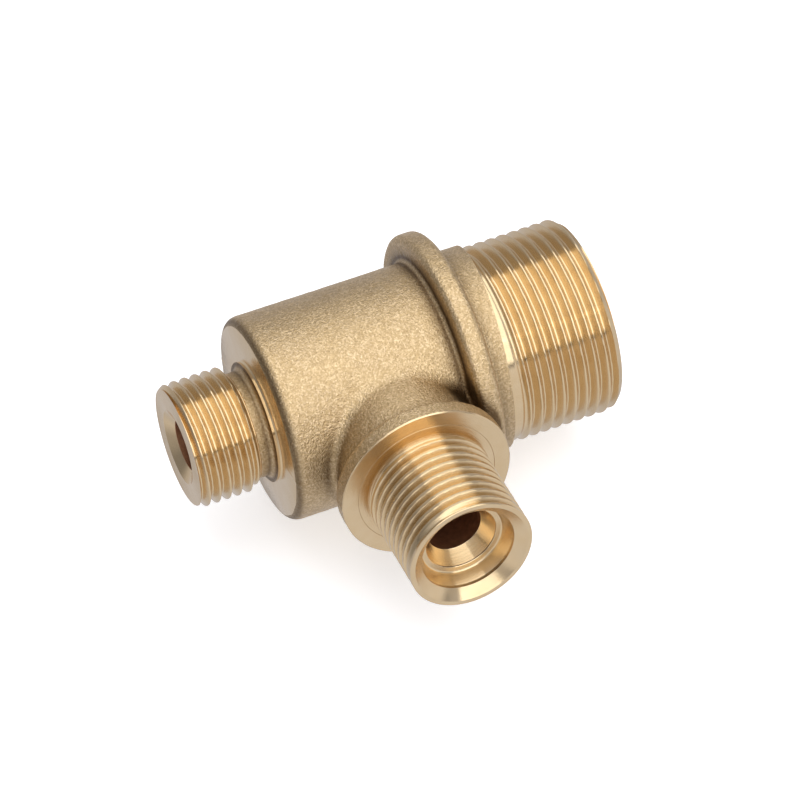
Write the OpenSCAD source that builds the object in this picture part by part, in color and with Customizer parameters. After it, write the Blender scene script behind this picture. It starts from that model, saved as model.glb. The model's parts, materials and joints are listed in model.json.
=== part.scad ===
// Brass tee fitting: a forged body with three turned, threaded tails and their seals.
// The run lies along X, inlet at -X and outlet at +X, and the branch points to -Y.
// The origin is the point where the run's axis and the branch's axis cross.
// Each tail is a spigot that sits in a socket of the body, shoulder to face, with
// an O-ring in a groove on the spigot. Threads are drawn as rings of the right
// outside diameter, depth and pitch.

/* [Barrel] */
// Outside diameter of the barrel
barrel_d = 34.6; // [33.5:0.1:36]
// Distance from the branch's axis to the barrel's machined end face
barrel_face_x = 19; // [18:0.1:20]
// Width of the machined end face, across its outer edge
barrel_face_d = 31.2; // [28:0.1:32]
// Radius of the barrel's forged corner
barrel_corner_r = 1.7; // [1:0.1:2.2]

/* [Collar] */
// Outside diameter of the round collar
collar_d = 43.6; // [40:0.1:46]
// Distance from the branch's axis to the collar's inlet side
collar_x = 11.8; // [11.5:0.1:12.5]
// Width of the collar along the run
collar_w = 4; // [3:0.1:4.5]
// Radius of the collar's rounded edges
collar_edge_r = 1.2; // [0.5:0.1:1.4]
// Radius of the blend between the collar and its neighbours
collar_blend_r = 1.3; // [0.5:0.1:1.4]

/* [Outlet boss] */
// Outside diameter of the forged boss behind the outlet tail
boss_d = 34.2; // [34:0.1:36]
// Distance from the branch's axis to the outlet tail's shoulder
outlet_shoulder_x = 19; // [18.6:0.1:20]
// How much further the boss's rim reaches on the side away from the branch
rim_slant = 3.2; // [1:0.1:3.2]

/* [Inlet neck] */
// Outside diameter of the forged neck
neck_d = 17.8; // [17.2:0.1:18.6]
// Outside diameter of the turned ring at the neck's root
neck_ring_d = 20.3; // [19.6:0.1:20.4]
// Width of the turned ring
neck_ring_w = 0.6; // [0.4:0.1:0.8]
// Length of the flare from the neck up to the ring
neck_flare = 1; // [0.5:0.1:1.4]
// Distance from the branch's axis to the inlet tail's shoulder
inlet_shoulder_x = 22; // [21.9:0.1:22]

/* [Branch boss] */
// Outside diameter of the branch flange
flange_d = 29.1; // [28:0.1:30]
// Thickness of the branch flange
flange_t = 3; // [2.6:0.1:3.4]
// Distance from the run's axis to the flange's machined face
flange_y = 25.2; // [24.8:0.1:26]
// Outside diameter of the forged root under the flange
branch_root_d = 25; // [23:0.1:26]

/* [Threads] */
// Outside diameter of the inlet and branch threads (G 1/2)
small_thread_d = 20.955; // [20.6:0.005:21.1]
// Pitch of the inlet and branch threads
small_pitch = 1.814; // [1.75:0.001:1.82]
// Outside diameter of the outlet thread (M33)
large_thread_d = 33; // [32.8:0.1:33.2]
// Pitch of the outlet thread
large_pitch = 2; // [1.9:0.05:2]

/* [Inlet tail] */
// Distance from the branch's axis to the inlet's end face
inlet_end_x = 33; // [32.8:0.1:34]
// Diameter of the waterway at the inlet
inlet_bore_d = 8.5; // [7:0.1:9]
// Diameter of the inlet's countersunk mouth
inlet_mouth_d = 12.6; // [11:0.1:13.5]
// Depth of the countersink
inlet_mouth_depth = 1.2; // [1:0.1:3]
// Diameter of the inlet tail's spigot
inlet_spigot_d = 14; // [13.4:0.1:14.4]

/* [Branch tail] */
// Distance from the run's axis to the branch's end face
branch_end_y = 43.25; // [43.1:0.05:44]
// Diameter of the waterway at the branch
branch_bore_d = 9.2; // [8:0.1:9.6]
// Diameter of the counterbore that takes a seal or a strainer
counterbore_d = 15.9; // [15.6:0.1:16.2]
// Depth of the counterbore
counterbore_depth = 4.15; // [3.8:0.05:4.5]
// Size of the sloped corner between the counterbore's wall and its floor
counterbore_corner = 1.4; // [0.4:0.1:1.4]
// How much wider than the counterbore the branch mouth's bevel opens, on the radius
mouth_bevel = 1.6; // [0.4:0.1:1.8]
// Diameter of the seat's lip at the counterbore's floor
seat_d = 12; // [11:0.1:12.4]
// Depth of the seat, from its lip to the waterway
seat_depth = 2.75; // [2.2:0.05:3.2]
// Diameter of the branch tail's spigot
branch_spigot_d = 16.4; // [16:0.1:17]
// Outside diameter of the thin collar at the branch thread's root
branch_collar_d = 23.6; // [23:0.1:24.4]
// Thickness of that collar, which sits flush in the flange's face
branch_collar_t = 0.5; // [0.4:0.1:0.8]

/* [Outlet tail] */
// Distance from the branch's axis to the outlet's end face
outlet_end_x = 38.8; // [38.6:0.1:39.6]
// Diameter of the chamber and of the outlet's waterway
run_bore_d = 24; // [22:0.1:24.4]
// Diameter of the outlet tail's spigot
outlet_spigot_d = 29.6; // [29:0.1:30]
// Outside diameter of the plain band behind the outlet thread
band_d = 32.4; // [32:0.1:32.6]
// Width of the plain band
band_w = 3.3; // [3.2:0.1:3.4]

/* [Sockets and seals] */
// Depth of the three sockets
socket_depth = 8; // [7.5:0.1:8.2]
// Thickness of the O-ring cord
seal_cord_d = 1.5; // [1.2:0.1:1.6]
// Width of the O-ring groove
groove_w = 2; // [1.8:0.1:2.4]
// Distance from a tail's shoulder to the near side of its O-ring groove
groove_offset = 3; // [2:0.1:4]
// Distance from the branch's axis to the chamber's closed end
chamber_end_x = 13; // [12.5:0.1:13.5]

/* [Hidden] */
$fn = 96;

// Distance from the run's axis to the branch tail's shoulder
branch_shoulder_y = flange_y - branch_collar_t;
// Depth of a thread's groove
small_depth = 0.6403 * small_pitch;
large_depth = 0.6134 * large_pitch;
// Width of a thread's crest and root as a share of its pitch
crest_share = 0.2;
// Lead-in chamfer on a spigot's nose and on the outlet mouth
nose_chamfer = 0.5;
mouth_chamfer = 0.4;
// Cutting tools reach this far past the faces that they cut
over = 1;
// Steps in each quarter-round blend
blend_steps = 5;
forged_colour = [0.83, 0.70, 0.50];
turned_colour = [0.90, 0.72, 0.42];
seal_colour = [0.08, 0.08, 0.08];

// Points on an arc about c, from angle a to angle b
function arc(c, r, a, b) = [
    for (i = [0:blend_steps])
        let (t = a + (b - a) * i / blend_steps)
        c + r * [cos(t), sin(t)]
];

// Crest and root points, as [radius, distance], of `turns` thread rings from z0
function thread_rings(r, depth, pitch, z0, turns) = [
    for (i = [0:turns - 1])
        let (z = z0 + i * pitch, flank = pitch * (1 - 2 * crest_share) / 2)
        each [
            [r - depth, z],
            [r, z + flank],
            [r, z + flank + pitch * crest_share],
            [r - depth, z + 2 * flank + pitch * crest_share]
        ]
];

// Stations of a spigot from its nose up to the shoulder plane at distance 0,
// with its O-ring groove
function spigot_side(r, depth) =
    let (g0 = -groove_offset - groove_w, floor_r = r - seal_cord_d)
    [
        [r - nose_chamfer, -depth],
        [r, -depth + nose_chamfer],
        [r, g0],
        [floor_r, g0],
        [floor_r, g0 + groove_w],
        [r, g0 + groove_w],
        [r, 0]
    ];

// Number of whole thread rings that fit in a length
function ring_count(length, pitch) = floor(length / pitch);

// Turn a solid made along +Z so that it points along the run or the branch
module to_inlet(x) {
    translate([-x, 0, 0]) rotate([0, -90, 0]) children();
}
module to_outlet(x) {
    translate([x, 0, 0]) rotate([0, 90, 0]) children();
}
module to_branch(y) {
    translate([0, -y, 0]) rotate([90, 0, 0]) children();
}

// A seal ring that touches its groove's floor and its socket's wall
module seal_ring(spigot_d) {
    translate([0, 0, -groove_offset - groove_w / 2])
        rotate_extrude()
            translate([(spigot_d - seal_cord_d) / 2, 0])
                circle(d = seal_cord_d);
}

// Outline of the body about the run: neck, barrel, collar and boss
function body_side() =
    let (
        barrel_r = barrel_d / 2,
        collar_r = collar_d / 2,
        boss_r = boss_d / 2,
        ring_x = -barrel_face_x - neck_ring_w,
        face_r = barrel_face_d / 2,
        collar_x2 = collar_x + collar_w,
        b = collar_blend_r,
        e = collar_edge_r
    )
    concat(
        [[0, -inlet_shoulder_x], [neck_d / 2, -inlet_shoulder_x], [neck_d / 2, ring_x - neck_flare]],
        [[neck_ring_d / 2, ring_x], [neck_ring_d / 2, -barrel_face_x], [face_r, -barrel_face_x]],
        arc([barrel_r - barrel_corner_r, barrel_corner_r - barrel_face_x], barrel_corner_r, -80, 0),
        arc([barrel_r + b, collar_x - b], b, 180, 90),
        arc([collar_r - e, collar_x + e], e, -90, 0),
        arc([collar_r - e, collar_x2 - e], e, 0, 90),
        arc([boss_r + b, collar_x2 + b], b, -90, -180),
        [[boss_r, outlet_shoulder_x + rim_slant], [0, outlet_shoulder_x + rim_slant]]
    );

// Forged body: barrel, collar, neck, outlet boss and branch boss, with the chamber
module forged_body() {
    root_blend = 1.5;
    slant_angle = atan(rim_slant / boss_d);
    color(forged_colour)
        difference() {
            union() {
                rotate([0, 90, 0]) rotate_extrude() polygon(body_side());
                to_branch(0) cylinder(d = branch_root_d, h = flange_y - flange_t);
                to_branch(flange_y - flange_t - root_blend)
                    cylinder(d1 = branch_root_d, d2 = flange_d - 1, h = root_blend);
                to_branch(flange_y - flange_t) cylinder(d = flange_d, h = flange_t);
            }
            // chamber, then the waterways to the inlet and the branch
            to_outlet(-chamber_end_x) cylinder(d = run_bore_d, h = chamber_end_x + outlet_end_x);
            to_inlet(chamber_end_x - over) cylinder(d = inlet_bore_d, h = inlet_shoulder_x);
            to_branch(0) cylinder(d = branch_bore_d, h = flange_y);
            // sockets for the three spigots
            to_inlet(inlet_shoulder_x - socket_depth)
                cylinder(d = inlet_spigot_d, h = socket_depth + over);
            to_branch(branch_shoulder_y - socket_depth)
                cylinder(d = branch_spigot_d, h = socket_depth + over);
            to_branch(branch_shoulder_y) cylinder(d = branch_collar_d, h = over);
            to_outlet(outlet_shoulder_x - socket_depth)
                cylinder(d = outlet_spigot_d, h = socket_depth + over);
            // recess for the plain band behind the outlet thread, and the boss's slanted rim
            to_outlet(outlet_shoulder_x) cylinder(d = band_d, h = rim_slant + over);
            translate([outlet_shoulder_x, -boss_d / 2, 0])
                rotate([0, 0, -slant_angle])
                    translate([0, -boss_d, -boss_d])
                        cube([boss_d, 3 * boss_d, 2 * boss_d]);
        }
}

// Inlet tail: small thread, countersunk mouth
module inlet_tail() {
    r = small_thread_d / 2;
    root_r = r - small_depth;
    length = inlet_end_x - inlet_shoulder_x;
    turns = ring_count(length, small_pitch);
    color(turned_colour)
        to_inlet(inlet_shoulder_x)
            rotate_extrude()
                polygon(concat(
                    spigot_side(inlet_spigot_d / 2, socket_depth),
                    thread_rings(r, small_depth, small_pitch, 0, turns),
                    [[root_r, length], [inlet_mouth_d / 2, length]],
                    [[inlet_bore_d / 2, length - inlet_mouth_depth], [inlet_bore_d / 2, -socket_depth]]
                ));
}

// Branch tail: small thread, thin root collar, counterbore and seat
module branch_tail() {
    lead_band = 1.2;
    root_run = 0.9;
    land_edge = 0.2;
    r = small_thread_d / 2;
    land_r = r - 0.2;
    root_r = r - small_depth;
    length = branch_end_y - branch_shoulder_y;
    thread_z = branch_collar_t + root_run;
    turns = ring_count(length - lead_band - thread_z, small_pitch);
    floor_z = length - counterbore_depth;
    wall_r = counterbore_d / 2;
    bevel_rise = 0.85;
    bevel_depth = bevel_rise * mouth_bevel;
    color(turned_colour)
        to_branch(branch_shoulder_y)
            rotate_extrude()
                polygon(concat(
                    spigot_side(branch_spigot_d / 2, socket_depth),
                    [[branch_collar_d / 2, 0], [branch_collar_d / 2, branch_collar_t]],
                    thread_rings(r, small_depth, small_pitch, thread_z, turns),
                    [[root_r, length - lead_band], [land_r, length - lead_band]],
                    [[land_r, length - land_edge], [land_r - land_edge, length]],
                    [[wall_r + mouth_bevel, length], [wall_r, length - bevel_depth]],
                    [[wall_r, floor_z + counterbore_corner], [wall_r - counterbore_corner, floor_z]],
                    [[seat_d / 2, floor_z], [seat_d / 2, floor_z - seat_depth / 2]],
                    [[branch_bore_d / 2, floor_z - seat_depth], [branch_bore_d / 2, -socket_depth]]
                ));
}

// Outlet tail: large thread behind a plain band, chamfered mouth
module outlet_tail() {
    r = large_thread_d / 2;
    root_r = r - large_depth;
    length = outlet_end_x - outlet_shoulder_x;
    turns = ring_count(length - band_w, large_pitch);
    color(turned_colour)
        to_outlet(outlet_shoulder_x)
            rotate_extrude()
                polygon(concat(
                    spigot_side(outlet_spigot_d / 2, socket_depth),
                    [[band_d / 2, 0], [band_d / 2, band_w]],
                    thread_rings(r, large_depth, large_pitch, band_w, turns),
                    [[root_r, length], [run_bore_d / 2 + mouth_chamfer, length]],
                    [[run_bore_d / 2, length - mouth_chamfer], [run_bore_d / 2, -socket_depth]]
                ));
}

// O-rings, one on each spigot
module inlet_seal() {
    color(seal_colour) to_inlet(inlet_shoulder_x) seal_ring(inlet_spigot_d);
}
module branch_seal() {
    color(seal_colour) to_branch(branch_shoulder_y) seal_ring(branch_spigot_d);
}
module outlet_seal() {
    color(seal_colour) to_outlet(outlet_shoulder_x) seal_ring(outlet_spigot_d);
}

forged_body();
inlet_tail();
branch_tail();
outlet_tail();
inlet_seal();
branch_seal();
outlet_seal();
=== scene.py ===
"""Brass tee fitting: forged body, three turned threaded tails and their seals, in studio light.

The forged body is a distance field turned into a mesh and then cut by lathe tools, as the real
one is forged and then machined. The tails are turned profiles with true right-hand threads.
Lengths are in millimetres until a mesh is made.
"""
import json
import math

import bpy
import numpy as np
from mathutils import Matrix, Vector, noise


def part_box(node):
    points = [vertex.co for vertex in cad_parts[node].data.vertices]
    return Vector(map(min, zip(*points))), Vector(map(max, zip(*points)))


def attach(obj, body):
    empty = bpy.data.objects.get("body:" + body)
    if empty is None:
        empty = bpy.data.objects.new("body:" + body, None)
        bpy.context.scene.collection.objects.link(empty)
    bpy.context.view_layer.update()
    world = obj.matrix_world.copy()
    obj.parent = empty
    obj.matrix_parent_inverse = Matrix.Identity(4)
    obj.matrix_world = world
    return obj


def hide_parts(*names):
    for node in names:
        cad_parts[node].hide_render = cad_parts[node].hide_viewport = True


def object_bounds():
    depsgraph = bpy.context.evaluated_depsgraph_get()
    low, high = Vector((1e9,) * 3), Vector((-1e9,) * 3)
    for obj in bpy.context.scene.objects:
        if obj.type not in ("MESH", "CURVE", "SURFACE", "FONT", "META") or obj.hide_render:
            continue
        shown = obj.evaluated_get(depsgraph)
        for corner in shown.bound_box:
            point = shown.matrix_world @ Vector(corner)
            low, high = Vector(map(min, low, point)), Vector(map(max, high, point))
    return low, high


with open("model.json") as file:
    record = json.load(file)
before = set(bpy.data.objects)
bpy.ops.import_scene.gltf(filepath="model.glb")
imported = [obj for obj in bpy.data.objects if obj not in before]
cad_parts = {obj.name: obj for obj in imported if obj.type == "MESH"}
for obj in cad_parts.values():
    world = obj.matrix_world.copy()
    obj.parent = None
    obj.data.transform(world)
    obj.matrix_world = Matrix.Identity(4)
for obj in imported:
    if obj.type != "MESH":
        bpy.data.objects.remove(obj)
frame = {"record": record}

MM = 0.001
cad_lo, cad_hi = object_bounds()

# ---------------------------------------------------------------- sizes from the frame
mounts = {m["name"]: m for m in frame["record"]["mounts"]}


def mount_r(name):
    """Radius of one of the record's mounts."""
    return mounts[name]["dims"]["r_mm"]


def reach(node, axis, sign):
    """How far a CAD node reaches from the origin along +axis or -axis."""
    lo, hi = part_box(node)
    return (hi[axis] if sign > 0 else -lo[axis]) / MM


INLET_END = reach("inlet_tail", 0, -1)
INLET_NOSE = -reach("inlet_tail", 0, 1)
OUTLET_END = reach("outlet_tail", 0, 1)
OUTLET_NOSE = -reach("outlet_tail", 0, -1)
BRANCH_END = reach("branch_tail", 1, -1)
BRANCH_NOSE = -reach("branch_tail", 1, 1)
FLANGE_FACE = reach("forged_body", 1, -1)
NECK_END = reach("forged_body", 0, -1)
COLLAR_R = reach("forged_body", 2, 1)
SMALL_R = mount_r("inlet_thread")
LARGE_R = mount_r("outlet_thread")
RUN_BORE = mount_r("run_bore")
INLET_BORE = mount_r("inlet_bore")
BRANCH_BORE = mount_r("branch_bore")
COUNTERBORE = mount_r("branch_counterbore")

# ---------------------------------------------------------------- sizes of the forging
BARREL_R = 17.3
BARREL_FACE = 19.0
BARREL_CORNER = 1.8
COLLAR_FROM, COLLAR_TO = 11.8, 15.8
COLLAR_EDGE = 1.25
BOSS_R = 17.1
RIM_NEAR, RIM_FAR = 19.0, 22.2
NECK_R = 8.9
RING_R = 10.15
RING_W = 0.6
FLANGE_R = 14.55
FLANGE_T = 3.0
ROOT_R = 12.5
CHAMBER_END = 13.0
STOCK, NECK_STOCK = 1.5, 1.0  # metal that machining takes off rim and flange, and off the neck

# ---------------------------------------------------------------- sizes of the tails
SOCKET = 8.0
GROOVE_FROM, GROOVE_W = 3.0, 2.0
CORD = 1.5
INLET_SPIGOT = 7.0
BRANCH_SPIGOT = 8.2
OUTLET_SPIGOT = 14.8
INLET_SHOULDER = INLET_NOSE + SOCKET
BRANCH_SHOULDER = BRANCH_NOSE + SOCKET
OUTLET_SHOULDER = OUTLET_NOSE + SOCKET
BAND_R = 16.2
ROOT_COLLAR = 11.8
SMALL_PITCH, LARGE_PITCH = 1.814, 2.0
# The share of its pitch that a standard pipe thread, and a metric one, is deep.
SMALL_DEPTH, LARGE_DEPTH = 0.6403 * SMALL_PITCH, 0.6134 * LARGE_PITCH
OPEN_END = 2.0  # how far past an open end a groove would go on
BORE_SLACK = 0.03  # added to a waterway's radius where the faces of its wall are picked

# ---------------------------------------------------------------- how fine the meshes are
VOXEL = 0.36
THREAD_STEPS = 320
AXIAL_STEP = 0.07
TOOL_STEPS = 256
SEAL_STEPS = 128


# ================================================================ mesh helpers
def make_mesh(name, points, faces, materials):
    """An object from points in millimetres."""
    mesh = bpy.data.meshes.new(name)
    mesh.from_pydata((np.asarray(points) * MM).tolist(), [], faces)
    mesh.validate()
    for m in materials:
        mesh.materials.append(m)
    piece = bpy.data.objects.new(name, mesh)
    bpy.context.scene.collection.objects.link(piece)
    return piece


# Rows: where a lathe's own x, its own y and the way along its axis point in the object.
AXES = {
    "outlet": np.array([[0, 1, 0], [0, 0, 1], [1, 0, 0]], float),
    "inlet": np.array([[0, 0, 1], [0, 1, 0], [-1, 0, 0]], float),
    "branch": np.array([[1, 0, 0], [0, 0, 1], [0, -1, 0]], float),
}


def lathe(name, rows, way, materials, steps=TOOL_STEPS, joined=True):
    """Turns rows of (radius, distance) about an axis. A radius may be one value for each step.
    Joined rows close on themselves like a tyre; otherwise the first and last row are capped."""
    angle = np.arange(steps) * (2 * math.pi / steps)
    radius = np.array([np.broadcast_to(r, steps) for r, _ in rows], float)
    along = np.array([np.broadcast_to(z, steps) for _, z in rows], float)
    local = np.stack([radius * np.cos(angle), radius * np.sin(angle), along], -1)
    points = local.reshape(-1, 3) @ AXES[way]
    count = len(rows)
    i = np.arange(count if joined else count - 1)[:, None]
    j = np.arange(steps)[None, :]
    next_i, next_j = (i + 1) % count, (j + 1) % steps
    quads = np.stack([
        i * steps + j,
        i * steps + next_j,
        next_i * steps + next_j,
        next_i * steps + j,
    ], -1).reshape(-1, 4).tolist()
    if not joined:
        quads.append(list(range(steps))[::-1])
        quads.append([(count - 1) * steps + k for k in range(steps)])
    return make_mesh(name, points, quads, materials)


def finish_piece(piece, node, sharp=24.0):
    """Smooth shading with sharp edges, and the piece's place in the table."""
    mesh = piece.data
    mesh.shade_smooth()
    mesh.set_sharp_from_angle(angle=math.radians(sharp))
    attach(piece, "root")
    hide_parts(node)


def line_bore(piece, way, radius):
    """Gives the faces of a waterway, up to the radius, the piece's second material: the bore's
    painted shade.
    """
    faces = piece.data.polygons
    centres = np.empty(len(faces) * 3)
    faces.foreach_get("center", centres)
    local = centres.reshape(-1, 3) / MM @ AXES[way].T
    inside = np.hypot(local[:, 0], local[:, 1]) < radius
    faces.foreach_set("material_index", inside.astype(np.int32))


# ================================================================ material helpers
class Nodes:
    """Short ways to add and join the shader nodes of a material or the world."""

    def __init__(self, owner, shader="Principled BSDF"):
        owner.use_nodes = True
        self.owner = owner
        self.tree = owner.node_tree
        self.shader = self.tree.nodes[shader]

    def add(self, kind, inputs=(), **settings):
        node = self.tree.nodes.new(kind)
        for key, value in settings.items():
            setattr(node, key, value)
        for key, value in dict(inputs).items():
            self.put(node.inputs[key], value)
        return node

    def put(self, socket, value):
        if isinstance(value, bpy.types.NodeSocket):
            self.tree.links.new(value, socket)
        else:
            socket.default_value = value

    def math(self, operation, a, b):
        return self.add("ShaderNodeMath", {0: a, 1: b}, operation=operation).outputs[0]

    def vector(self, operation, a, b=(0, 0, 0)):
        node = self.add("ShaderNodeVectorMath", {0: a, 1: b}, operation=operation)
        return node.outputs["Value" if operation in ("LENGTH", "DOT_PRODUCT") else "Vector"]

    def place(self):
        return self.add("ShaderNodeTexCoord").outputs["Object"]

    def noise(self, where, size_mm, detail=2.0, rough=0.5, kind="3D"):
        """Noise whose lumps are about size_mm across."""
        inputs = {"Scale": 1 / (size_mm * MM), "Detail": detail, "Roughness": rough}
        inputs["W" if kind == "1D" else "Vector"] = where
        return self.add("ShaderNodeTexNoise", inputs, noise_dimensions=kind).outputs["Fac"]

    def cells(self, where, size_mm):
        """A random value for each of many small cells."""
        inputs = {"Vector": where, "Scale": 1 / (size_mm * MM)}
        return self.add("ShaderNodeTexVoronoi", inputs).outputs["Color"]

    def spread(self, value, low, high):
        """Stretches a noise value from its usual 0.3 to 0.7 on to low to high."""
        inputs = {"Value": value, "From Min": 0.3, "From Max": 0.7, "To Min": low, "To Max": high}
        return self.add("ShaderNodeMapRange", inputs).outputs["Result"]

    def mix(self, factor, a, b, blend="MIX"):
        """Mixes two colours. The node's colour sockets share their names, so they go by number."""
        node = self.add("ShaderNodeMix", data_type="RGBA", blend_type=blend)
        for socket, value in ((0, factor), (6, a), (7, b)):
            self.put(node.inputs[socket], (*value, 1) if isinstance(value, tuple) else value)
        return node.outputs[2]

    def bump(self, height, depth_mm, strength=1.0, normal=None):
        inputs = {"Height": height, "Distance": depth_mm * MM, "Strength": strength}
        if normal is not None:
            inputs["Normal"] = normal
        return self.add("ShaderNodeBump", inputs).outputs["Normal"]

    def finish(self, **inputs):
        """Sets the shader's inputs and gives back the material."""
        for key, value in inputs.items():
            socket = self.shader.inputs[key.replace("_", " ")]
            self.put(socket, (*value, 1) if isinstance(value, tuple) else value)
        return self.owner


def new_material(name):
    return Nodes(bpy.data.materials.new(name))


def forged_brass():
    """Blasted forging: pale matt gold with a fine sparkling grain, painted shade darkening its
    creases, and a darker band at the barrel's end corner.
    """
    warm, pale = (0.90, 0.69, 0.41), (0.85, 0.66, 0.415)
    pit, speck, shade_and_corner_dark = (0.48, 0.34, 0.17), (0.50, 0.355, 0.18), (0.10, 0.055, 0.022)
    n = new_material("forged_brass")
    where = n.place()
    grain = n.noise(where, 0.34, rough=0.7)
    fine = n.cells(where, 0.27)
    lumps = n.noise(where, 1.3, detail=3.0, rough=0.55)
    patches = n.noise(where, 7.0)
    painted_shade_and_corner = n.add("ShaderNodeAttribute", attribute_name="painted_shade_and_corner").outputs["Fac"]
    colour = n.mix(n.spread(patches, 0.0, 1.0), warm, pale)
    colour = n.mix(n.spread(grain, 0.90, 0.0), colour, pit)
    colour = n.mix(n.spread(fine, 0.80, 0.0), colour, speck)
    # Painted shade: the stored mask darkens the creases, and the barrel's end corner, towards a dark
    # brown.
    colour = n.mix(painted_shade_and_corner, colour, shade_and_corner_dark)
    normal = n.bump(lumps, depth_mm=0.10, strength=0.5)
    normal = n.bump(grain, depth_mm=0.17, normal=normal)
    normal = n.bump(fine, depth_mm=0.03, strength=0.7, normal=normal)
    roughness = n.spread(lumps, 0.32, 0.46)
    return n.finish(Base_Color=colour, Metallic=1.0, Roughness=roughness, Normal=normal)


def turned_brass(name, axis, rough=(0.19, 0.26), marks=1.0):
    """Turned brass. Tool marks run round the axis, and a quarter turn of the anisotropy
    spreads the highlights across them."""
    tint = (0.76, 0.59, 0.36)
    deeper = tuple(t * f for t, f in zip(tint, (0.94, 0.87, 0.74)))
    n = new_material(name)
    where = n.place()
    along = n.vector("DOT_PRODUCT", where, axis)
    centre = n.vector("MULTIPLY", where, tuple(1 - abs(a) for a in axis))
    wander = n.math("MULTIPLY", n.noise(where, 5.0, detail=1.0), 0.12 * MM)
    feed = n.math("ADD", n.math("ADD", along, n.vector("LENGTH", centre)), wander)
    ridges = n.noise(feed, 0.13, rough=0.6, kind="1D")
    bands = n.noise(feed, 0.55, detail=1.0, kind="1D")
    film = n.noise(where, 3.5, detail=3.0, rough=0.6)
    specks = n.noise(where, 0.25, rough=0.7)
    normal = n.bump(ridges, depth_mm=0.009 * marks, strength=0.8)
    normal = n.bump(bands, depth_mm=0.014 * marks, strength=0.6, normal=normal)
    normal = n.bump(specks, depth_mm=0.004, strength=0.5, normal=normal)
    return n.finish(
        Base_Color=n.mix(n.spread(film, 0.0, 0.4), tint, deeper),
        Metallic=1.0,
        Roughness=n.spread(film, *rough),
        Anisotropic=0.9,
        Anisotropic_Rotation=0.25,
        Normal=normal,
        Tangent=n.vector("NORMALIZE", n.vector("CROSS_PRODUCT", axis, centre)),
    )


def bore_brass_painted_shade():
    """Wall of a deep drilled hole: dull, with random stains, on a dark base colour that is painted
    shade.
    """
    shaded_clean, shaded_stained = (0.52, 0.27, 0.145), (0.37, 0.17, 0.09)
    n = new_material("bore_brass_painted_shade")
    stain = n.noise(n.place(), 1.1, detail=3.0, rough=0.6)
    return n.finish(
        Base_Color=n.mix(n.spread(stain, 0.0, 1.0), shaded_clean, shaded_stained),
        Metallic=1.0,
        Roughness=0.55,
        Normal=n.bump(stain, depth_mm=0.03, strength=0.6),
    )


def seal_rubber():
    """Moulded black rubber with a dusty bloom."""
    black, dusty = (0.018, 0.018, 0.019), (0.045, 0.044, 0.042)
    n = new_material("seal_rubber")
    where = n.place()
    bloom = n.noise(where, 1.2, detail=3.0)
    skin = n.noise(where, 0.12)
    return n.finish(
        Base_Color=n.mix(n.spread(bloom, 0.0, 1.0), black, dusty),
        Roughness=n.spread(bloom, 0.48, 0.66),
        Normal=n.bump(skin, depth_mm=0.01, strength=0.6),
    )


FORGED = forged_brass()
CUT_RUN = turned_brass("machined_run_face", (1, 0, 0), rough=(0.16, 0.22), marks=0.5)
CUT_BRANCH = turned_brass("machined_branch_face", (0, 1, 0), rough=(0.20, 0.27))
TURNED_RUN = turned_brass("turned_run", (1, 0, 0))
TURNED_BRANCH = turned_brass("turned_branch", (0, 1, 0))
# Bore material: its dark base colour is painted shade.
BORE_PAINTED_SHADE = bore_brass_painted_shade()
RUBBER = seal_rubber()


# ================================================================ forged body
def round_cylinder(along, outward, radius, start, end, edge):
    """Distance to a cylinder whose rims are rounded."""
    over_r = outward - (radius - edge)
    over_l = np.abs(along - (start + end) / 2) - ((end - start) / 2 - edge)
    outside = np.hypot(np.maximum(over_r, 0), np.maximum(over_l, 0))
    return outside + np.minimum(np.maximum(over_r, over_l), 0) - edge


def weld(a, b, fillet):
    """Union of two distances with a concave fillet between them."""
    near = np.hypot(np.maximum(fillet - a, 0), np.maximum(fillet - b, 0))
    return np.maximum(fillet, np.minimum(a, b)) - near


def forging(p):
    """Distance from points to the skin of the forging, before it is machined."""
    x, y, z = p[..., 0], p[..., 1], p[..., 2]
    run, branch = np.hypot(y, z), np.hypot(x, z)
    face_stock, ring_stock, ring_over, skin_room = 0.12, 0.5, 0.1, 0.15
    boss_from, barrel_to = 13, 14
    parting_height, parting_width = 0.09, 0.22
    barrel = round_cylinder(x, run, BARREL_R, -BARREL_FACE - face_stock, barrel_to, BARREL_CORNER)
    collar = round_cylinder(x, run, COLLAR_R - skin_room, COLLAR_FROM, COLLAR_TO, COLLAR_EDGE)
    boss = round_cylinder(x, run, BOSS_R, boss_from, RIM_FAR + STOCK, edge=0.3)
    neck = round_cylinder(x, run, NECK_R, -NECK_END - NECK_STOCK, 0, edge=0.3)
    ring_from = -BARREL_FACE - RING_W - ring_over
    ring = round_cylinder(x, run, RING_R + ring_stock, ring_from, 0, edge=0.4)
    root = round_cylinder(-y, branch, ROOT_R, 0, FLANGE_FACE, edge=0.3)
    flange = round_cylinder(
        -y, branch, FLANGE_R, FLANGE_FACE - FLANGE_T, FLANGE_FACE + STOCK, edge=0.55
    )
    body = weld(barrel, collar, fillet=0.8)
    body = weld(body, boss, fillet=1.5)
    body = weld(body, weld(neck, ring, fillet=0.9), fillet=0.2)
    body = weld(body, weld(root, flange, fillet=0.8), fillet=1.3)
    return body - parting_height * np.exp(-((z / parting_width) ** 2))


def slope(p, step=0.02):
    """Unit outward direction of the forging's field."""
    parts = []
    for k in range(3):
        d = np.zeros(3)
        d[k] = step
        parts.append(forging(p + d) - forging(p - d))
    g = np.stack(parts, -1) / (2 * step)
    return g / np.maximum(np.linalg.norm(g, axis=-1, keepdims=True), 1e-6)


def settle(p, rounds=3):
    """Moves points on to the forging's skin."""
    for _ in range(rounds):
        p = p - forging(p)[..., None] * slope(p)
    return p


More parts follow.
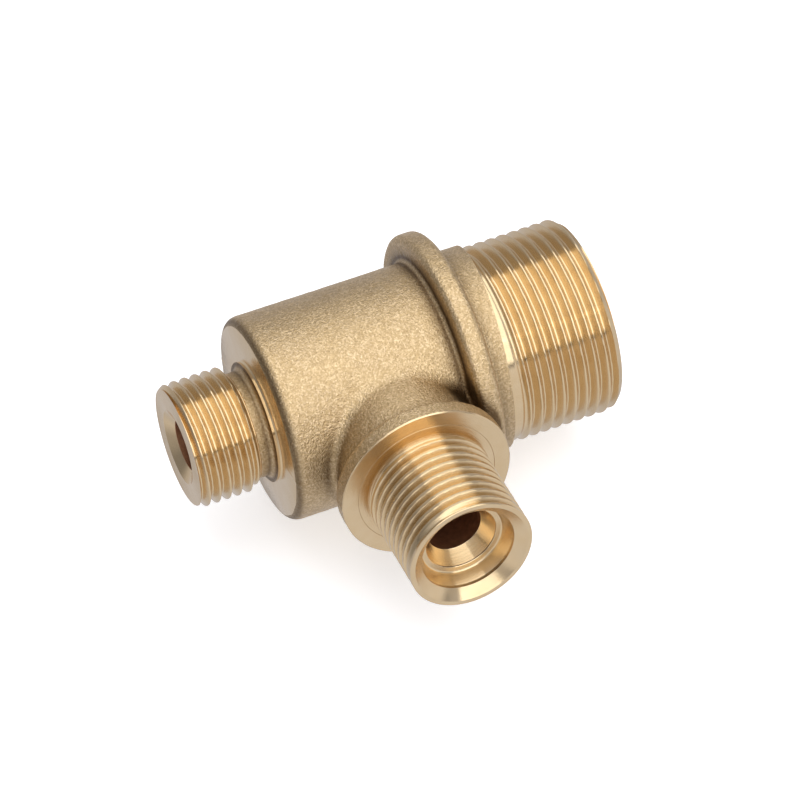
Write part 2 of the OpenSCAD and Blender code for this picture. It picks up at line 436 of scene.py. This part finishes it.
def skin_mesh(lo, hi, step):
    """Points and four-sided faces of the forging's skin, by surface nets."""
    ticks = [np.arange(a, b + step, step) for a, b in zip(lo, hi)]
    grid = np.stack(np.meshgrid(*ticks, indexing="ij"), -1)
    field = forging(grid)
    inside = field < 0
    cells = tuple(n - 1 for n in field.shape)
    total, count = np.zeros((*cells, 3)), np.zeros(cells)
    for axis in range(3):
        near, far = [slice(None)] * 3, [slice(None)] * 3
        near[axis], far[axis] = slice(None, -1), slice(1, None)
        a, b = field[tuple(near)], field[tuple(far)]
        crossed = inside[tuple(near)] != inside[tuple(far)]
        t = np.where(crossed, a / np.where(crossed, a - b, 1), 0)
        point = grid[tuple(near)].copy()
        point[..., axis] += t * step
        others = [k for k in range(3) if k != axis]
        for di in (0, 1):
            for dj in (0, 1):
                pick = [slice(None)] * 3
                for k, d in zip(others, (di, dj)):
                    pick[k] = slice(d, cells[k] + d)
                hit = crossed[tuple(pick)]
                total += point[tuple(pick)] * hit[..., None]
                count += hit
    used = count > 0
    index = np.full(cells, -1)
    index[used] = np.arange(used.sum())
    points = total[used] / count[used][:, None]
    faces = []
    for axis in range(3):
        u, v = [(1, 2), (2, 0), (0, 1)][axis]
        near, far = [slice(None)] * 3, [slice(None)] * 3
        near[axis], far[axis] = slice(None, -1), slice(1, None)
        for k in (u, v):
            near[k] = far[k] = slice(1, -1)
        a, b = inside[tuple(near)], inside[tuple(far)]

        def cell(du, dv):
            pick = [slice(None)] * 3
            pick[u] = slice(du, cells[u] - 1 + du)
            pick[v] = slice(dv, cells[v] - 1 + dv)
            return index[tuple(pick)]

        ring = np.stack([cell(0, 0), cell(1, 0), cell(1, 1), cell(0, 1)], -1)
        faces.append(ring[a & ~b])
        faces.append(ring[~a & b][:, ::-1])
    return points, np.concatenate(faces)


def relax(points, faces, rounds=2):
    """Evens out the faces while the points stay on the skin."""
    for _ in range(rounds):
        total, count = np.zeros_like(points), np.zeros(len(points))
        for a, b in ((0, 1), (1, 2), (2, 3), (3, 0)):
            for s, t in ((a, b), (b, a)):
                np.add.at(total, faces[:, s], points[faces[:, t]])
                np.add.at(count, faces[:, s], 1)
        points = settle(points * 0.5 + 0.5 * total / count[:, None], 2)
    return points


def forged_skin(points):
    """How far the skin stands in or out at each point: lumps, and a few nicks on the collar."""
    swells = ((0.055, 6.0), (0.035, 2.2), (0.022, 0.8))
    lift = np.array([
        sum(height * noise.noise(Vector(p) / width) for height, width in swells) for p in points
    ])
    dice = np.random.default_rng(7)
    nicks, nick_depth, nick_r, nick_in = 9, 0.13, COLLAR_R - 0.35, 0.3
    for _ in range(nicks):
        turn = dice.uniform(0, 2 * math.pi)
        x = dice.choice([COLLAR_FROM + nick_in, COLLAR_TO - nick_in]) + dice.uniform(-0.2, 0.2)
        spot = np.array([x, nick_r * math.cos(turn), nick_r * math.sin(turn)])
        far = np.linalg.norm(points - spot, axis=1) / dice.uniform(0.35, 0.7)
        lift -= nick_depth * np.exp(-far ** 2)
    return lift


def shade_and_corner_mask(points):
    """Painted shade: how hidden each point of the forging is, 0 in the open, towards 1 in its
    creases.
    A darker band at the barrel's end corner is added to the same mask."""
    reaches = (0.6, 1.4, 2.6, 4.2)
    gain, power, limit = 3.2, 1.5, 0.86
    shade_and_corner_dark, corner_dark_width = 0.8, 0.7
    out = slope(points)
    # Painted shade: the more of its surroundings hide a point, the darker it is painted.
    hidden = [np.clip((d - forging(points + out * d)) / d, 0, 1) for d in reaches]
    crease = gain * np.mean(hidden, 0) ** power
    run = np.hypot(points[:, 1], points[:, 2])
    # A darker band along the barrel's end corner, added to the painted shade mask.
    corner = np.hypot(run - (BARREL_R - 0.75), points[:, 0] + BARREL_FACE - 0.55)
    return np.clip(crease + shade_and_corner_dark * np.exp(-((corner / corner_dark_width) ** 2)), 0, limit)


def body_tools():
    """The lathe tools that cut the forging, each as a closed solid. Those that reach the axis
    keep a core a hair wide, so that their end caps are rings of separate points."""
    core, out, past, clear, overlap = 0.01, 40.0, 2.0, 3.0, 1.0
    burr, ring_root, face_over = 0.18, 0.25, 0.02
    outlet_fit, branch_fit, lip = 0.03, 0.02, 0.03
    branch_from = 2.0
    boss_bore = lathe("tool_run", [
        (core, -CHAMBER_END), (RUN_BORE, -CHAMBER_END), (RUN_BORE, OUTLET_NOSE),
        (OUTLET_SPIGOT, OUTLET_NOSE), (OUTLET_SPIGOT, OUTLET_SHOULDER),
        (BAND_R + outlet_fit, OUTLET_SHOULDER), (BAND_R + outlet_fit, out), (core, out),
    ], "outlet", [CUT_RUN], joined=False)
    inlet_bore = lathe("tool_inlet", [
        (core, CHAMBER_END - overlap), (INLET_BORE, CHAMBER_END - overlap), (INLET_BORE, INLET_NOSE),
        (INLET_SPIGOT, INLET_NOSE), (INLET_SPIGOT, NECK_END + past), (core, NECK_END + past),
    ], "inlet", [CUT_RUN], joined=False)
    branch_bore = lathe("tool_branch", [
        (core, branch_from), (BRANCH_BORE, branch_from), (BRANCH_BORE, BRANCH_NOSE),
        (BRANCH_SPIGOT, BRANCH_NOSE), (BRANCH_SPIGOT, BRANCH_SHOULDER),
        (ROOT_COLLAR + branch_fit, BRANCH_SHOULDER), (ROOT_COLLAR + branch_fit, FLANGE_FACE - lip),
        (ROOT_COLLAR + branch_fit + lip, FLANGE_FACE), (FLANGE_R - burr, FLANGE_FACE),
        (FLANGE_R + clear, FLANGE_FACE - burr - clear), (out, FLANGE_FACE - burr - clear),
        (out, out), (core, out),
    ], "branch", [CUT_BRANCH], joined=False)
    face = lathe("tool_face", [
        (RING_R, BARREL_FACE + RING_W + face_over), (RING_R, BARREL_FACE + ring_root),
        (RING_R + ring_root, BARREL_FACE), (out, BARREL_FACE), (out, out),
        (RING_R + past, out), (RING_R + past, BARREL_FACE + RING_W + past),
    ], "inlet", [CUT_RUN])
    neck_end = lathe("tool_neck", [
        (core, NECK_END), (out, NECK_END), (out, out), (core, out),
    ], "inlet", [CUT_RUN], joined=False)
    rim = lathe("tool_rim", [
        (core, 0), (out, 0), (out, out), (core, out),
    ], "outlet", [CUT_RUN], joined=False)
    slant = math.atan2(RIM_FAR - RIM_NEAR, 2 * BOSS_R)
    middle = Matrix.Translation(Vector(((RIM_NEAR + RIM_FAR) / 2 * MM, 0, 0)))
    rim.data.transform(middle @ Matrix.Rotation(-slant, 4, "Z"))
    return [boss_bore, inlet_bore, branch_bore, face, neck_end, rim]


def cut(piece, tools):
    """Cuts the tools out of a piece and leaves a plain mesh."""
    for tool in tools:
        step = piece.modifiers.new(tool.name, "BOOLEAN")
        step.operation = "DIFFERENCE"
        step.solver = "EXACT"
        step.material_mode = "TRANSFER"
        step.object = tool
    seen = piece.evaluated_get(bpy.context.evaluated_depsgraph_get())
    made = bpy.data.meshes.new_from_object(seen)
    piece.modifiers.clear()
    piece.data = made
    for tool in tools:
        bpy.data.objects.remove(tool)


def forged_body():
    """The forging, machined, with its mask of painted shade in the creases and of the darker end
    corner stored for the material.
    """
    room = 1.0
    lo = (-NECK_END - NECK_STOCK - room, -FLANGE_FACE - STOCK - room, -COLLAR_R - room)
    hi = (RIM_FAR + STOCK + room, COLLAR_R + room, COLLAR_R + room)
    points, faces = skin_mesh(lo, hi, VOXEL)
    points = relax(settle(points), faces)
    points = points + forged_skin(points)[:, None] * slope(points)
    body = make_mesh("forged_body_skin", points, faces.tolist(), [FORGED])
    cut(body, body_tools())
    places = np.empty(len(body.data.vertices) * 3)
    body.data.vertices.foreach_get("co", places)
    # Mask for painted shade in the creases and for the darker band at the barrel's end corner.
    shade = body.data.attributes.new("painted_shade_and_corner", "FLOAT", "POINT")
    shade.data.foreach_set("value", shade_and_corner_mask(places.reshape(-1, 3) / MM).astype(np.float32))
    finish_piece(body, "forged_body", sharp=28.0)


# ================================================================ tails
def ease(t):
    """Smooth step from 0 to 1."""
    t = np.clip(t, 0.0, 1.0)
    return t * t * (3 - 2 * t)


def thread(radius, depth, pitch, z, start, stop, crest=0.14, root=0.14):
    """Radius round one turn, at distance z, of a right-hand thread with rounded crests.
    The groove runs out along its own helix as its middle comes up to stop."""
    soft, fade = 0.05, 0.4
    angle = np.arange(THREAD_STEPS) / THREAD_STEPS
    turns = z / pitch - angle + start
    groove = (np.floor(turns) + 0.5 + angle - start) * pitch
    tri = np.abs(2 * (turns % 1.0) - 1)
    rise = (tri - root) / (1 - root - crest)
    high = 1 - np.maximum(rise, 0) - soft / 2 * np.exp(-np.abs(rise) / soft)
    full = 1 - np.maximum(high, 0) - soft / 2 * np.exp(-np.abs(high) / soft)
    run_out = ease((stop - groove) / (fade * pitch))
    return radius - depth * (1 - np.clip(full, 0, 1)) * run_out


def between(a, b, step):
    """Even stations from a to b."""
    return np.linspace(a, b, max(2, int(round(abs(b - a) / step)) + 1))


def arc_rows(r, z, radius, start, end, steps):
    """Rows on an arc about (r, z); angles in degrees from the outward direction to +z."""
    turns = np.radians(np.linspace(start, end, steps))
    return [(r + radius * math.cos(t), z + radius * math.sin(t)) for t in turns]


def bowl_rows(r, z, inner, bottom, steps):
    """Rows that curve from a wall at (r, z) in to (inner, bottom), as a form tool leaves them."""
    turns = np.linspace(0, math.pi / 2, steps)
    return [(inner + (r - inner) * math.cos(t), z + (bottom - z) * math.sin(t)) for t in turns]


def spigot_rows(radius, nose, shoulder):
    """Nose chamfer, seal groove and wall of a spigot, up to its shoulder."""
    groove, chamfer = shoulder - GROOVE_FROM, 0.5
    return [
        (radius - chamfer, nose), (radius, nose + chamfer), (radius, groove - GROOVE_W),
        (radius - CORD, groove - GROOVE_W), (radius - CORD, groove), (radius, groove),
        (radius, shoulder),
    ]


def inlet_tail():
    """Small tail on the run. It leaves the neck flush, and its mouth is countersunk."""
    root = SMALL_R - SMALL_DEPTH
    edge, neck_fade, thread_fade = 0.1, 0.6, 1.1
    rows = spigot_rows(INLET_SPIGOT, INLET_NOSE, INLET_SHOULDER)
    rows += [(NECK_R - edge, INLET_SHOULDER), (NECK_R, INLET_SHOULDER + edge)]
    begin = INLET_SHOULDER + 2 * edge
    burr, lead, lead_slope, lead_drop = 0.06, 0.95, 0.62, 0.62
    for z in between(begin, INLET_END - burr, AXIAL_STEP):
        turned = thread(SMALL_R, SMALL_DEPTH, SMALL_PITCH, z, start=0.30, stop=INLET_END + OPEN_END)
        base = NECK_R + (root - NECK_R) * ease((z - begin) / neck_fade)
        r = base + (turned - root) * ease((z - begin) / thread_fade)
        rows.append((np.minimum(r, SMALL_R - max(z - (INLET_END - lead), 0) * lead_slope), z))
    rows += [(SMALL_R - lead_drop, INLET_END)]
    mouth, half_angle = 6.3, math.radians(60)
    depth = (mouth - INLET_BORE) / math.tan(half_angle)
    rows += [(mouth + burr, INLET_END), (mouth, INLET_END - burr)]
    rows += [(INLET_BORE + burr, INLET_END - depth), (INLET_BORE, INLET_END - depth - burr)]
    rows += [(INLET_BORE, INLET_NOSE)]
    piece = lathe("inlet_tail_turned", rows, "inlet", [TURNED_RUN, BORE_PAINTED_SHADE], THREAD_STEPS)
    line_bore(piece, "inlet", INLET_BORE + BORE_SLACK)
    finish_piece(piece, "inlet_tail")


def branch_root_rows(root, lift, fillet):
    """Collar in the flange's face and the filleted root above it, with a little tool chatter."""
    hair, land, chatter, beat = 0.03, 0.15, 0.03, 1.9
    rows = [(ROOT_COLLAR, BRANCH_SHOULDER), (ROOT_COLLAR, FLANGE_FACE - hair)]
    rows += [(ROOT_COLLAR - hair, FLANGE_FACE), (root + lift + fillet + land, FLANGE_FACE)]
    curve = arc_rows(root + lift + fillet, FLANGE_FACE + fillet, fillet, 270, 180, steps=21)
    return rows + [(r + chatter * math.sin(beat * k), z) for k, (r, z) in enumerate(curve)]


def branch_mouth_rows():
    """Bevelled mouth, counterbore with a sloped corner and conical seat, down to the waterway."""
    bevel, bevel_rise, edge = 1.6, 0.85, 0.08
    bottom, corner = BRANCH_END - 4.15, 2.2
    bowl_in, bowl_rise, flat_in = 0.8, 0.5, 1.2
    seat, seat_lip, seat_depth = 6.0, 0.25, 2.75
    rows = [(COUNTERBORE + bevel + edge, BRANCH_END), (COUNTERBORE + bevel, BRANCH_END - edge)]
    rows += [(COUNTERBORE, BRANCH_END - bevel_rise * bevel), (COUNTERBORE, bottom + corner)]
    rows += bowl_rows(
        COUNTERBORE - bowl_in, bottom + bowl_rise, COUNTERBORE - flat_in, bottom, steps=8
    )
    rows += [(seat + edge, bottom), (seat, bottom - edge), (seat, bottom - seat_lip)]
    rows += [(BRANCH_BORE + edge, bottom - seat_depth), (BRANCH_BORE, bottom - seat_depth - edge)]
    return rows


def branch_tail():
    """Small tail on the branch. Its thread runs out just short of the mouth."""
    root, lift, fillet = SMALL_R - SMALL_DEPTH, 0.25, 0.75
    begin, root_fade, thread_fade, thread_lead = FLANGE_FACE + fillet, 0.8, 1.1, 0.6
    last, end_drop = 0.1, 0.12
    run_out = BRANCH_END - 0.45
    rows = spigot_rows(BRANCH_SPIGOT, BRANCH_NOSE, BRANCH_SHOULDER)
    rows += branch_root_rows(root, lift, fillet)
    for z in between(begin + 0.05, BRANCH_END - last, AXIAL_STEP):
        turned = thread(
            SMALL_R, SMALL_DEPTH, SMALL_PITCH, z, start=0.404, stop=run_out, crest=0.32, root=0.1
        )
        base = root + lift * (1 - ease((z - begin) / root_fade))
        rows.append((base + (turned - root) * ease((z - begin + thread_lead) / thread_fade), z))
    rows += [(SMALL_R - end_drop, BRANCH_END)]
    rows += branch_mouth_rows()
    rows += [(BRANCH_BORE, BRANCH_NOSE)]
    piece = lathe("branch_tail_turned", rows, "branch", [TURNED_BRANCH, BORE_PAINTED_SHADE], THREAD_STEPS)
    line_bore(piece, "branch", BRANCH_BORE + BORE_SLACK)
    finish_piece(piece, "branch_tail")


def outlet_tail():
    """Large tail on the run: a plain band at its shoulder, then the thread and a chamfered end."""
    band, band_step, thread_fade, gap = 1.5, 0.3, 1.9, 0.05
    chamfer, chamfer_slope, mouth = 1.15, 0.9, 0.4
    begin, chamfer_from = OUTLET_SHOULDER + band, OUTLET_END - chamfer
    rows = spigot_rows(OUTLET_SPIGOT, OUTLET_NOSE, OUTLET_SHOULDER)
    rows += [(BAND_R, OUTLET_SHOULDER)]
    rows += [(BAND_R, z) for z in between(OUTLET_SHOULDER + band_step, begin, band_step)]
    for z in between(begin + gap, OUTLET_END - gap, AXIAL_STEP):
        turned = thread(LARGE_R, LARGE_DEPTH, LARGE_PITCH, z, start=0.45, stop=OUTLET_END + OPEN_END)
        r = BAND_R + (turned - BAND_R) * ease((z - begin) / thread_fade)
        rows.append((np.minimum(r, LARGE_R - max(z - chamfer_from, 0) * chamfer_slope), z))
    rows += [(LARGE_R - chamfer, OUTLET_END), (RUN_BORE + mouth, OUTLET_END)]
    rows += [(RUN_BORE, OUTLET_END - mouth), (RUN_BORE, OUTLET_NOSE)]
    piece = lathe("outlet_tail_turned", rows, "outlet", [TURNED_RUN], THREAD_STEPS)
    finish_piece(piece, "outlet_tail")


# ================================================================ seals
def seal(way, spigot, shoulder):
    """O-ring with a little moulding flash, flattened where it presses on groove and socket."""
    name = way + "_seal"
    middle = shoulder - GROOVE_FROM - GROOVE_W / 2
    half = CORD / 2
    steps, flat, flash = 24, half * 0.97, 1.02
    rows = []
    for k in range(steps):
        t = 2 * math.pi * k / steps
        out, side = half * math.cos(t), half * math.sin(t)
        if k in (steps // 4, 3 * steps // 4):
            side *= flash
        rows.append((spigot - half + max(min(out, flat), -flat), middle + side))
    piece = lathe(name + "_ring", rows, way, [RUBBER], SEAL_STEPS)
    finish_piece(piece, name, sharp=60.0)


def make_pieces():
    forged_body()
    inlet_tail()
    branch_tail()
    outlet_tail()
    seal("inlet", INLET_SPIGOT, INLET_SHOULDER)
    seal("branch", BRANCH_SPIGOT, BRANCH_SHOULDER)
    seal("outlet", OUTLET_SPIGOT, OUTLET_SHOULDER)


# ================================================================ studio
def floor():
    """Plain white table just under the collar. The brass mirrors the sky's own table instead."""
    half, gap = 3.0, 0.2 * MM
    level = cad_lo.z - gap
    corners = [(x * half, y * half, level) for x, y in ((-1, -1), (1, -1), (1, 1), (-1, 1))]
    mesh = bpy.data.meshes.new("floor")
    mesh.from_pydata(corners, [], [(0, 1, 2, 3)])
    n = new_material("floor_paper")
    mottle = n.noise(n.place(), 60.0)
    mesh.materials.append(n.finish(
        Base_Color=n.mix(n.spread(mottle, 0.0, 1.0), (0.93, 0.93, 0.93), (0.95, 0.95, 0.95)),
        Roughness=0.85,
        Emission_Color=(1.0, 1.0, 1.0),
        Emission_Strength=0.5,
    ))
    table = bpy.data.objects.new("floor", mesh)
    bpy.context.scene.collection.objects.link(table)
    table.visible_glossy = False


def softbox(name, place, size, strength):
    """A rectangular light that faces the origin. Its brightness as seen is set by strength."""
    data = bpy.data.lights.new(name, "AREA")
    data.shape = "RECTANGLE"
    data.size, data.size_y = size
    data.energy = strength * math.pi * size[0] * size[1]
    lamp = bpy.data.objects.new(name, data)
    outward = Vector(place).normalized()
    upward = outward.cross(Vector((1, 0, 0))).normalized()
    turn = Matrix((upward.cross(outward), upward, outward)).transposed()
    lamp.matrix_world = Matrix.Translation(place) @ turn.to_4x4()
    bpy.context.scene.collection.objects.link(lamp)


def grey_ramp(n, value, stops):
    """Slightly cool greys at stops along a value that runs from -1 to 1."""
    cool = 1.04
    part = n.add("ShaderNodeMapRange", {"Value": value, "From Min": -1.0, "From Max": 1.0})
    node = n.add("ShaderNodeValToRGB", {"Fac": part.outputs["Result"]})
    points = node.color_ramp.elements
    while len(points) < len(stops):
        points.new(0.5)
    for point, (at, grey) in zip(points, stops):
        point.position = (at + 1) / 2
        point.color = (grey, grey, grey * cool, 1)
    return node.outputs["Color"]


def sky():
    """What the brass mirrors round the lamps: a pale table below, a dim room, a dark gap in
    front above the table's edge, and a shaded left side. It changes with direction only."""
    leftward = (-0.98, 0.15, 0.05)
    world = bpy.data.worlds.new("studio")
    bpy.context.scene.world = world
    n = Nodes(world, "Background")
    towards = n.add("ShaderNodeTexCoord").outputs["Generated"]
    parts = n.add("ShaderNodeSeparateXYZ", {"Vector": towards}).outputs
    front = grey_ramp(n, parts["Z"], [
        (-1.0, 0.74), (-0.5, 0.82), (0.0, 0.86), (0.18, 0.9), (0.20, 0.04), (0.275, 0.04),
        (0.285, 0.6), (1.0, 0.5),
    ])
    back = grey_ramp(n, parts["Z"], [
        (-1.0, 0.60), (-0.3, 0.60), (0.0, 0.54), (0.2, 0.46), (1.0, 0.46),
    ])
    behind = grey_ramp(n, parts["Y"], [(-0.15, 0.0), (0.25, 1.0)])
    shade = grey_ramp(n, n.vector("DOT_PRODUCT", towards, leftward), [(0.62, 1.0), (0.86, 0.52)])
    n.finish(Color=n.mix(1.0, n.mix(behind, front, back), shade, "MULTIPLY"))


def camera():
    """A long lens from the front left, a little rolled, as the photograph was taken. The object's
    origin lies distance ahead of it, aside to its right and above its line of sight."""
    azimuth, elevation, roll = (math.radians(v) for v in (-19.83, 43.67, -4.43))
    distance, aside, above = 900.0, -5.50, 2.44
    forward = Vector((
        -math.sin(azimuth) * math.cos(elevation),
        math.cos(azimuth) * math.cos(elevation),
        -math.sin(elevation),
    ))
    right = Vector((math.cos(azimuth), math.sin(azimuth), 0))
    up = right.cross(forward)
    tilt_right = right * math.cos(roll) + up * math.sin(roll)
    tilt_up = up * math.cos(roll) - right * math.sin(roll)
    centre = -(tilt_right * aside + tilt_up * above + forward * distance)
    data = bpy.data.cameras.new("camera")
    data.sensor_width, data.lens = 36.0, 248.5305
    data.clip_start, data.clip_end = 0.05, 20
    cam = bpy.data.objects.new("camera", data)
    turn = Matrix((tilt_right, tilt_up, -forward)).transposed()
    cam.matrix_world = Matrix.Translation(centre * MM) @ turn.to_4x4()
    bpy.context.scene.collection.objects.link(cam)
    bpy.context.scene.camera = cam


make_pieces()
floor()
sky()
softbox("overhead", place=(0.115, -0.05, 0.60), size=(0.77, 1.08), strength=1.3)
softbox("front", place=(0.05, -0.87, 0.513), size=(1.1, 0.52), strength=1.35)
camera()
bpy.context.scene.view_settings.view_transform = "Standard"
